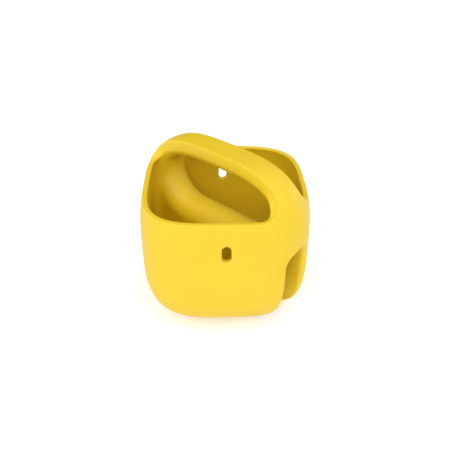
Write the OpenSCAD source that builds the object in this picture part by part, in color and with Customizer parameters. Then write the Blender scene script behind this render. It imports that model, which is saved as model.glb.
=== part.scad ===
// Silicone carry sleeve: a rounded cube open at the top on both sides of a
// diagonal strap, with a diagonal arched channel under it.
// One soft moulding. Origin at the middle of the flat base, +Z up, millimetres.

/* [Body] */
// Half of the outside width
half_w = 32; // [26:1:40]
// Outside height over half of the width, from the middle
rise = 1.017; // [0.95:0.01:1.1]
// Squareness of the body, higher is squarer
square_n = 3.45; // [2.6:0.05:5]
// Wall thickness
wall = 2.0; // [1.5:0.1:3]
// How much the flat base takes off the rounded bottom
base_cut = 0.54; // [0.2:0.02:1.0]

/* [Mouths and strap] */
// Half of the strap width
strap_half = 5.4; // [4.2:0.1:7]
// How far the strap's middle lies off the diagonal
strap_off = -0.9; // [-1.5:0.1:1.5]
// Thickness of the strap in the middle, flat on top and round below
strap_t = 7.7; // [5:0.1:9]
// Height of the rim of the two mouths over half of the width
rim_rise = 1.575; // [1.45:0.005:1.62]
// Rounding between rim and strap
mouth_r = 8; // [3:0.5:9]

/* [Channel] */
// Half of the channel width
channel_half = 5.5; // [3:0.1:7]
// Height of the channel's ceiling over half of the width
channel_rise = 1.1125; // [0.95:0.0025:1.15]
// Half of the length of the window under the strap over half of the width
window_run = 0.8125; // [0.7:0.0025:0.9]
// Rounding of the window's lower corners
window_r = 12; // [4:0.5:12]

/* [Slots] */
// Width of the slots
slot_w = 3.3; // [2.5:0.1:4.5]
// Height of the slots
slot_h = 6.4; // [5:0.1:9]
// Height of the middle of the slots over half of the width
slot_rise = 1.21; // [1.15:0.005:1.28]

/* [Hidden] */
seg = 64;
rows = 30;
skin = wall;
mid_z = half_w * rise - base_cut;
rim_z = half_w * rim_rise;
channel_top = half_w * channel_rise;
window_half = half_w * window_run;
slot_z = half_w * slot_rise;
ridge_r = channel_half + skin;
ridge_zc = channel_top - channel_half;

function spow(w, e) = (w < 0 ? -1 : 1) * pow(abs(w), e);
// one ring of the rounded cube at latitude p
function ring(a, c, n, p) = [for (i = [0:seg - 1]) let (t = 360 * i / seg)
    [a * spow(cos(p), 2 / n) * spow(cos(t), 2 / n),
     a * spow(cos(p), 2 / n) * spow(sin(t), 2 / n),
     c * spow(sin(p), 2 / n)]];
// latitudes run evenly, clear of the poles
function lat(k) = -90 + 180 * k / rows;

// Closed rounded cube, half width a and half height c
module rounded_cube(a, c, n) {
    rings = [for (k = [1:rows - 1]) each ring(a, c, n, lat(k))];
    pts = concat(rings, [[0, 0, -c], [0, 0, c]]);
    lo = len(rings);
    hi = lo + 1;
    sides = [for (k = [0:rows - 3], i = [0:seg - 1]) let (j = (i + 1) % seg)
        each [[k * seg + i, (k + 1) * seg + j, k * seg + j],
              [k * seg + i, (k + 1) * seg + i, (k + 1) * seg + j]]];
    bottom = [for (i = [0:seg - 1]) [lo, i, (i + 1) % seg]];
    top = [for (i = [0:seg - 1]) let (b = (rows - 2) * seg) [hi, b + (i + 1) % seg, b + i]];
    polyhedron(points = pts, faces = concat(sides, bottom, top), convexity = 4);
}

// Arch profile, round on top, drawn in the y-z plane and run along the diagonal
module arch(r, zc, zlo, len) {
    rotate([0, 0, -45]) {
        translate([-len / 2, 0, zc]) rotate([0, 90, 0]) cylinder(r = r, h = len, $fn = 48);
        translate([-len / 2, -r, zlo]) cube([len, 2 * r, zc - zlo]);
    }
}

// Space of one mouth: everything past the strap's edge, w off the diagonal, and over the rim
module mouth(w) {
    big = 60;
    rotate([0, 0, -45]) translate([-big, 0, 0]) rotate([90, 0, 90])
        linear_extrude(height = 2 * big) {
            translate([-big, rim_z + mouth_r]) square([big - w, big]);
            translate([-big, rim_z]) square([big - w - mouth_r, mouth_r + 1]);
            translate([-w - mouth_r, rim_z + mouth_r]) circle(r = mouth_r, $fn = 48);
        }
}

// Outline of the body in the diagonal plane, t inside its surface
function diagonal(t) = [for (i = [0:seg - 1]) let (a = 360 * i / seg)
    [(half_w * pow(2, 0.5 - 1 / square_n) - t) * spow(cos(a), 2 / square_n),
     mid_z + (half_w * rise - t) * spow(sin(a), 2 / square_n)]];

// Room under the strap; its top rises to both sides, which rounds the strap's underside
module under_strap() {
    steps = 10;
    r = strap_half + 0.3;
    far = max(ridge_r, r + abs(strap_off)) + 2;
    vs = concat([-far], [for (k = [0:steps]) strap_off - r * cos(180 * k / steps)], [far]);
    ts = concat([wall], [for (k = [0:steps]) max(wall, strap_t - r + r * sin(180 * k / steps))], [wall]);
    pts = [for (q = [0:steps + 2]) each [for (p = diagonal(ts[q])) [p[0], vs[q], p[1]]]];
    sides = [for (q = [0:steps + 1], i = [0:seg - 1]) let (a = q * seg + i, b = q * seg + (i + 1) % seg)
        each [[a, b, b + seg], [a, b + seg, a + seg]]];
    front = [for (i = [seg - 1:-1:0]) i];
    back = [for (i = [0:seg - 1]) (steps + 2) * seg + i];
    polyhedron(points = pts, faces = concat(sides, [front, back]), convexity = 4);
}

// Window between ridge and strap
module window() {
    z0 = ridge_zc + ridge_r;
    rotate([0, 0, -45]) intersection() {
        under_strap();
        translate([0, 40, 0]) rotate([90, 0, 0]) linear_extrude(height = 80) {
            translate([-window_half, z0 + window_r]) square([2 * window_half, 60]);
            translate([-window_half + window_r, z0]) square([2 * (window_half - window_r), window_r + 1]);
            for (s = [-1, 1]) translate([s * (window_half - window_r), z0 + window_r])
                circle(r = window_r, $fn = 48);
        }
    }
}

// Upright pill slot through the wall on the -Y side
module slot() {
    translate([0, -20, slot_z]) rotate([90, 0, 0]) linear_extrude(height = 20) {
        square([slot_w, slot_h - slot_w], center = true);
        for (s = [-1, 1]) translate([0, s * (slot_h - slot_w) / 2]) circle(d = slot_w, $fn = 32);
    }
}

module inner_space() {
    translate([0, 0, mid_z]) rounded_cube(half_w - wall, half_w * rise - wall, square_n);
}

// Ridge over the channel, with a post at both ends up to the strap
module ridge() {
    arch(ridge_r, ridge_zc, -5, 4 * half_w);
    difference() {
        rotate([0, 0, -45]) translate([-60, -ridge_r, ridge_zc]) cube([120, 2 * ridge_r, 60]);
        window();
    }
}

module sleeve() {
    color("gold") difference() {
        translate([0, 0, mid_z]) rounded_cube(half_w, half_w * rise, square_n);
        difference() {
            inner_space();
            ridge();
        }
        mouth(strap_half - strap_off);
        rotate([0, 0, 180]) mouth(strap_half + strap_off);
        arch(channel_half, ridge_zc, -5, 4 * half_w);
        slot();
        rotate([0, 0, 180]) slot();
        translate([-50, -50, -10]) cube([100, 100, 10]);
    }
}

sleeve();
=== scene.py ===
import math

import bpy
import numpy as np
from mathutils import Matrix, Vector


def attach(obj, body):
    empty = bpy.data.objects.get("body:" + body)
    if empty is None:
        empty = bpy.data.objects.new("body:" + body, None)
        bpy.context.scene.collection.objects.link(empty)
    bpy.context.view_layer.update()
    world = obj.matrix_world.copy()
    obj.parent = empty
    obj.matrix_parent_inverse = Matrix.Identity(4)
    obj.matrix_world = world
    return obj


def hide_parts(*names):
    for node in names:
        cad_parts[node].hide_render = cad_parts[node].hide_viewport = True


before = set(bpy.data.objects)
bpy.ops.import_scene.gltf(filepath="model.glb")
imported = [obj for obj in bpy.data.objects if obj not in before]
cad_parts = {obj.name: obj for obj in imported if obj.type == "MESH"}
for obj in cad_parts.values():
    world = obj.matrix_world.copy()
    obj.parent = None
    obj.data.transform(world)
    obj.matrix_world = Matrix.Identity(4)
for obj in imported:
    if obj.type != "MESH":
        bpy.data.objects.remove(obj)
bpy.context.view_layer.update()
scene = bpy.context.scene

# ---------------------------------------------------------------- shape, in millimetres
A = 32.0            # half width
C = 32.54           # half height before the flat base
N = 3.45            # squareness
MID = 32.0          # height of the body's middle
WALL = 2.0
STRAP_F = 5.7       # strap edges off the diagonal, front and rear
STRAP_R = 4.4
STRAP_T = 7.7       # strap thickness in the middle
RIM_F = 50.0        # rims of the front and rear mouths
RIM_B = 50.9
CH = 5.5            # channel half width
CH_ZC = 30.1        # centre of its round ceiling
RIDGE = CH + 2.0
WIN_U = 26.5        # window half length
WIN_R = 12.0
SLOT_W = 3.3
SLOT_H = 6.4
SLOT_Z = 38.7
Q = math.sqrt(0.5)


def rmax(a, b, r):
    return np.minimum(-r, np.maximum(a, b)) + np.hypot(np.maximum(a + r, 0), np.maximum(b + r, 0))


def rmin(a, b, r):
    return -rmax(-a, -b, r)


def body(x, y, z):
    ax, ay, az = np.abs(x) / A, np.abs(y) / A, np.abs(z - MID) / C
    s = np.power(ax, N) + np.power(ay, N) + np.power(az, N)
    s = np.maximum(s, 1e-4)
    f = np.power(s, 1.0 / N)
    k = np.power(s, 1.0 / N - 1.0)
    g = k * np.sqrt((np.power(ax, N - 1) / A) ** 2 + (np.power(ay, N - 1) / A) ** 2 + (np.power(az, N - 1) / C) ** 2)
    return (f - 1.0) / np.maximum(g, 0.012)


def mouth(u, v, z, edge, rim, r, deep):
    # negative inside the space past the strap's edge and over the rim, clear of the ring under the strap
    near = np.clip(deep, -1.0, 3.0)
    k = np.clip((z - 51.0) / 8.0, 0, 1)
    k = k * k * (3 - 2 * k)
    qv = v + edge + (0.72 - 0.62 * k) * near + 0.35 * k * np.clip(deep - 2.8, 0, 3.5)
    qz = rim + 0.10 * near - z
    return rmax(qv, qz, r - 1.7 * near)


def window(u, z):
    # negative inside the window between ridge and strap
    z0 = CH_ZC + RIDGE
    return rmax(np.abs(u) - WIN_U, z0 - z, WIN_R)


def channel(v, z):
    up = np.hypot(v, np.maximum(z - CH_ZC, 0))
    return up - CH


def slot(x, z):
    dz = np.maximum(np.abs(z - SLOT_Z) - (SLOT_H - SLOT_W) / 2, 0)
    return np.hypot(x, dz) - SLOT_W / 2


def field(p):
    x, y, z = p[..., 0], p[..., 1], p[..., 2]
    u, v = (x - y) * Q, (x + y) * Q
    do = body(x, y, z)
    inner = -(do + WALL)                      # positive in the hollow
    ridge = rmax(np.abs(v) - RIDGE, -window(u, z), RIDGE - 0.05)
    # the strap is flat on top and round below
    under = rmax(np.abs(v + (STRAP_F - STRAP_R) / 2) - (STRAP_F + STRAP_R) / 2 - 0.5, -do - STRAP_T, 5.4)
    d = np.maximum(do, rmin(rmin(inner, ridge, 5.0), under, 1.5))
    # channel, its trailing lip rounder than its leading one
    low = np.clip((z - 6.0) / 14.0, 0, 1)
    lip = 0.45 + 2.2 * low * low * (3 - 2 * low) / (1 + np.exp(-np.clip(v * np.sign(u) * 1.2, -20, 20)))
    d = rmax(d, -channel(v, z), lip)
    deep = -do
    soft = 0.28 + 0.34 * np.clip(deep - 0.4, 0, 1.6)
    # both rims rise gently towards the back left
    rise = 2.6 * np.clip((3.0 - u) / 33.0, 0, 1.15) ** 2
    d = rmax(d, -mouth(u, v, z, STRAP_F, RIM_F + rise, 8.0, deep), soft)
    d = rmax(d, -mouth(-u, -v, z, STRAP_R, RIM_B + 0.3 * rise, 8.0, deep), soft)
    d = rmax(d, -np.maximum(slot(x, z), 20 - np.abs(y)), 0.22)
    d = rmax(d, -z, 0.25)
    return d


def surface(h):
    lo = np.array([-A - 1.5, -A - 1.5, -1.0])
    n = [int(math.ceil(s / h)) + 1 for s in (2 * A + 3, 2 * A + 3, MID + C + 2.2)]
    gx, gy, gz = [lo[i] + h * (np.arange(n[i]) + 0.137) for i in range(3)]
    val = np.empty(n, np.float32)
    for i in range(n[0]):
        P = np.stack(np.broadcast_arrays(gx[i], gy[:, None], gz[None, :]), -1)
        val[i] = field(P)
    sgn = val < 0
    cells = [k - 1 for k in n]
    acc = np.zeros((*cells, 3), np.float32)
    cnt = np.zeros(cells, np.float32)
    corner = lambda a, dx, dy, dz: a[dx:dx + cells[0], dy:dy + cells[1], dz:dz + cells[2]]
    for ax in range(3):
        o1, o2 = [k for k in range(3) if k != ax]
        for b1 in (0, 1):
            for b2 in (0, 1):
                c0 = [0, 0, 0]
                c0[o1], c0[o2] = b1, b2
                c1 = list(c0)
                c1[ax] = 1
                a, b = corner(val, *c0), corner(val, *c1)
                m = (a < 0) != (b < 0)
                t = np.where(m, a / np.where(m, a - b, 1), 0)
                for k in range(3):
                    acc[..., k] += m * (t if k == ax else float(c0[k]))
                cnt += m
    act = cnt > 0
    idx = np.full(cells, -1, np.int64)
    idx[act] = np.arange(act.sum())
    ijk = np.argwhere(act)
    verts = (ijk + acc[act] / cnt[act][:, None] + 0.137) * h + lo
    quads = []
    for ax in range(3):
        o1, o2 = (ax + 1) % 3, (ax + 2) % 3
        a = [slice(None)] * 3
        b = [slice(None)] * 3
        a[ax], b[ax] = slice(0, n[ax] - 1), slice(1, n[ax])
        e = np.argwhere(sgn[tuple(a)] != sgn[tuple(b)])
        e = e[(e[:, o1] > 0) & (e[:, o2] > 0) & (e[:, o1] < n[o1] - 1) & (e[:, o2] < n[o2] - 1)]
        inside = sgn[tuple(e.T)]
        c = [e.copy() for _ in range(4)]
        c[1][:, o1] -= 1
        c[2][:, o1] -= 1
        c[2][:, o2] -= 1
        c[3][:, o2] -= 1
        q = np.stack([idx[tuple(k.T)] for k in c], 1)
        q[~inside] = q[~inside][:, ::-1]
        quads.append(q)
    quads = np.concatenate(quads)
    # settle the points evenly along the surface, then exactly on it
    edges = np.concatenate([quads[:, [i, (i + 1) % 4]] for i in range(4)])
    for it in range(3):
        tot = np.zeros_like(verts)
        num = np.zeros(len(verts))
        np.add.at(tot, edges[:, 0], verts[edges[:, 1]])
        np.add.at(tot, edges[:, 1], verts[edges[:, 0]])
        np.add.at(num, edges.ravel(), 1)
        verts = 0.5 * verts + 0.5 * tot / num[:, None]
        verts = onto(verts, 2)
    return verts, quads


def onto(p, steps):
    e = 0.02
    for _ in range(steps):
        f = field(p)
        g = np.stack([(field(p + d) - field(p - d)) / (2 * e) for d in np.eye(3) * e], -1)
        g2 = np.maximum((g ** 2).sum(-1), 0.2)
        p = p - np.clip(f / g2, -0.4, 0.4)[:, None] * g
    return p


H = 0.45
verts, quads = surface(H)
mesh = bpy.data.meshes.new("sleeve_skin")
mesh.from_pydata((verts * 0.001).tolist(), [], quads.tolist())
mesh.validate()
mesh.update()
mesh.polygons.foreach_set("use_smooth", [True] * len(mesh.polygons))
skin = bpy.data.objects.new("sleeve_skin", mesh)
scene.collection.objects.link(skin)
print("sleeve_skin", len(verts), "points", len(quads), "quads")

# ---------------------------------------------------------------- silicone
mat = bpy.data.materials.new("silicone_yellow")
mat.use_nodes = True
nt = mat.node_tree
nd = nt.nodes
bsdf = nd["Principled BSDF"]
bsdf.inputs["Roughness"].default_value = 0.55
bsdf.inputs["IOR"].default_value = 1.5
bsdf.inputs["Specular IOR Level"].default_value = 0.55
bsdf.inputs["Subsurface Weight"].default_value = 0.0
bsdf.inputs["Sheen Weight"].default_value = 0.0
bsdf.inputs["Sheen Roughness"].default_value = 0.5
tc = nd.new("ShaderNodeTexCoord")


def noise(scale, detail, rough):
    n = nd.new("ShaderNodeTexNoise")
    n.inputs["Scale"].default_value = scale
    n.inputs["Detail"].default_value = detail
    n.inputs["Roughness"].default_value = rough
    nt.links.new(tc.outputs["Object"], n.inputs["Vector"])
    return n


broad = noise(55, 3, 0.5)
grain = noise(2600, 3, 0.6)
ramp = nd.new("ShaderNodeValToRGB")
ramp.color_ramp.elements[0].position = 0.3
ramp.color_ramp.elements[0].color = (0.665, 0.455, 0.0025, 1)
ramp.color_ramp.elements[1].position = 0.7
ramp.color_ramp.elements[1].color = (0.685, 0.470, 0.0032, 1)
nt.links.new(broad.outputs["Fac"], ramp.inputs["Fac"])
nt.links.new(ramp.outputs["Color"], bsdf.inputs["Base Color"])
rr = nd.new("ShaderNodeMapRange")
rr.inputs["From Min"].default_value = 0.3
rr.inputs["From Max"].default_value = 0.7
rr.inputs["To Min"].default_value = 0.50
rr.inputs["To Max"].default_value = 0.62
nt.links.new(grain.outputs["Fac"], rr.inputs["Value"])
nt.links.new(rr.outputs["Result"], bsdf.inputs["Roughness"])
bump = nd.new("ShaderNodeBump")
bump.inputs["Strength"].default_value = 0.12
bump.inputs["Distance"].default_value = 0.00004
nt.links.new(grain.outputs["Fac"], bump.inputs["Height"])
nt.links.new(bump.outputs["Normal"], bsdf.inputs["Normal"])
mesh.materials.append(mat)

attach(skin, "root")
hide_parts("sleeve")

# ---------------------------------------------------------------- stage
bpy.ops.mesh.primitive_plane_add(size=6, location=(0, 0, -0.0002))
floor = bpy.context.object
floor.name = "floor"
fm = bpy.data.materials.new("floor")
fm.use_nodes = True
fb = fm.node_tree.nodes["Principled BSDF"]
fb.inputs["Base Color"].default_value = (0.80, 0.80, 0.80, 1)
fb.inputs["Roughness"].default_value = 0.9
fb.inputs["Emission Color"].default_value = (1, 1, 1, 1)
fb.inputs["Emission Strength"].default_value = 0.26
floor.data.materials.append(fm)

world = bpy.data.worlds.new("world")
scene.world = world
world.use_nodes = True
wn = world.node_tree
bg = wn.nodes["Background"]
wc = wn.nodes.new("ShaderNodeTexCoord")
ws = wn.nodes.new("ShaderNodeSeparateXYZ")
wr = wn.nodes.new("ShaderNodeValToRGB")
wn.links.new(wc.outputs["Generated"], ws.inputs[0])
# soft surroundings by height, nothing from straight above
stops = [(0.0, 0.0), (0.15, 0.19), (0.35, 0.045), (0.55, 0.30), (0.75, 0.17), (0.92, 0.0)]
el = wr.color_ramp.elements
while len(el) < len(stops):
    el.new(0.5)
for e, (pos, v) in zip(el, stops):
    e.position = pos
for e, (pos, v) in zip(sorted(el, key=lambda k: k.position), stops):
    e.color = (v, v, v, 1)
wn.links.new(ws.outputs["Z"], wr.inputs["Fac"])
wn.links.new(wr.outputs["Color"], bg.inputs["Color"])
bg.inputs["Strength"].default_value = 1.0


def lamp(name, azimuth, elevation, strength, spread):
    # a broad far light; azimuth 0 is in front of the object, positive to its right
    l = bpy.data.lights.new(name, "SUN")
    l.energy = strength * math.pi * 0.965
    l.angle = math.radians(spread)
    o = bpy.data.objects.new(name, l)
    scene.collection.objects.link(o)
    a, e = math.radians(azimuth), math.radians(elevation)
    d = Vector((math.sin(a) * math.cos(e), -math.cos(a) * math.cos(e), math.sin(e)))
    o.location = d * 0.5
    o.rotation_euler = (-d).to_track_quat("-Z", "Y").to_euler()
    return o


LAMPS = [("front_high", 0, 38, 0.40), ("front_low", 0, 12, 0.03),
         ("left_front_low", -35, 12, 0.215), ("left_front", -35, 38, 0.14), ("left_top", -70, 64, 0.245),
         ("left_rear_low", -110, 15, 0.21), ("left_rear", -110, 55, 0.035),
         ("right_top", 35, 64, 0.26), ("right_front", 35, 38, 0.055), ("right_low", 70, 12, 0.075),
         ("right_rear_low", 110, 15, 0.31), ("rear", 140, 50, 0.185)]
for name, azimuth, elevation, strength in LAMPS:
    lamp(name, azimuth, elevation, strength, 35)

# ---------------------------------------------------------------- camera
az, el, dist, fpx, cx, cy = -0.0254, 0.5656, 7.2747, 584.84, 224.37, 222.17
fw = Vector((-math.sin(az) * math.cos(el), math.cos(az) * math.cos(el), -math.sin(el)))
rt = Vector((math.cos(az), math.sin(az), 0))
up = rt.cross(fw)
cam_data = bpy.data.cameras.new("camera")
cam_data.sensor_width = 36
cam_data.lens = fpx / 450 * 36
cam_data.shift_x = (225 - cx) / 450
cam_data.shift_y = (cy - 225) / 450
cam_data.clip_start = 0.01
cam = bpy.data.objects.new("camera", cam_data)
scene.collection.objects.link(cam)
rot = Matrix((rt, up, -fw)).transposed()
cam.matrix_world = Matrix.Translation(-fw * dist * 0.032 + Vector((0, 0, 0.032))) @ rot.to_4x4()
scene.camera = cam
scene.view_settings.view_transform = "Standard"
scene.view_settings.look = "None"
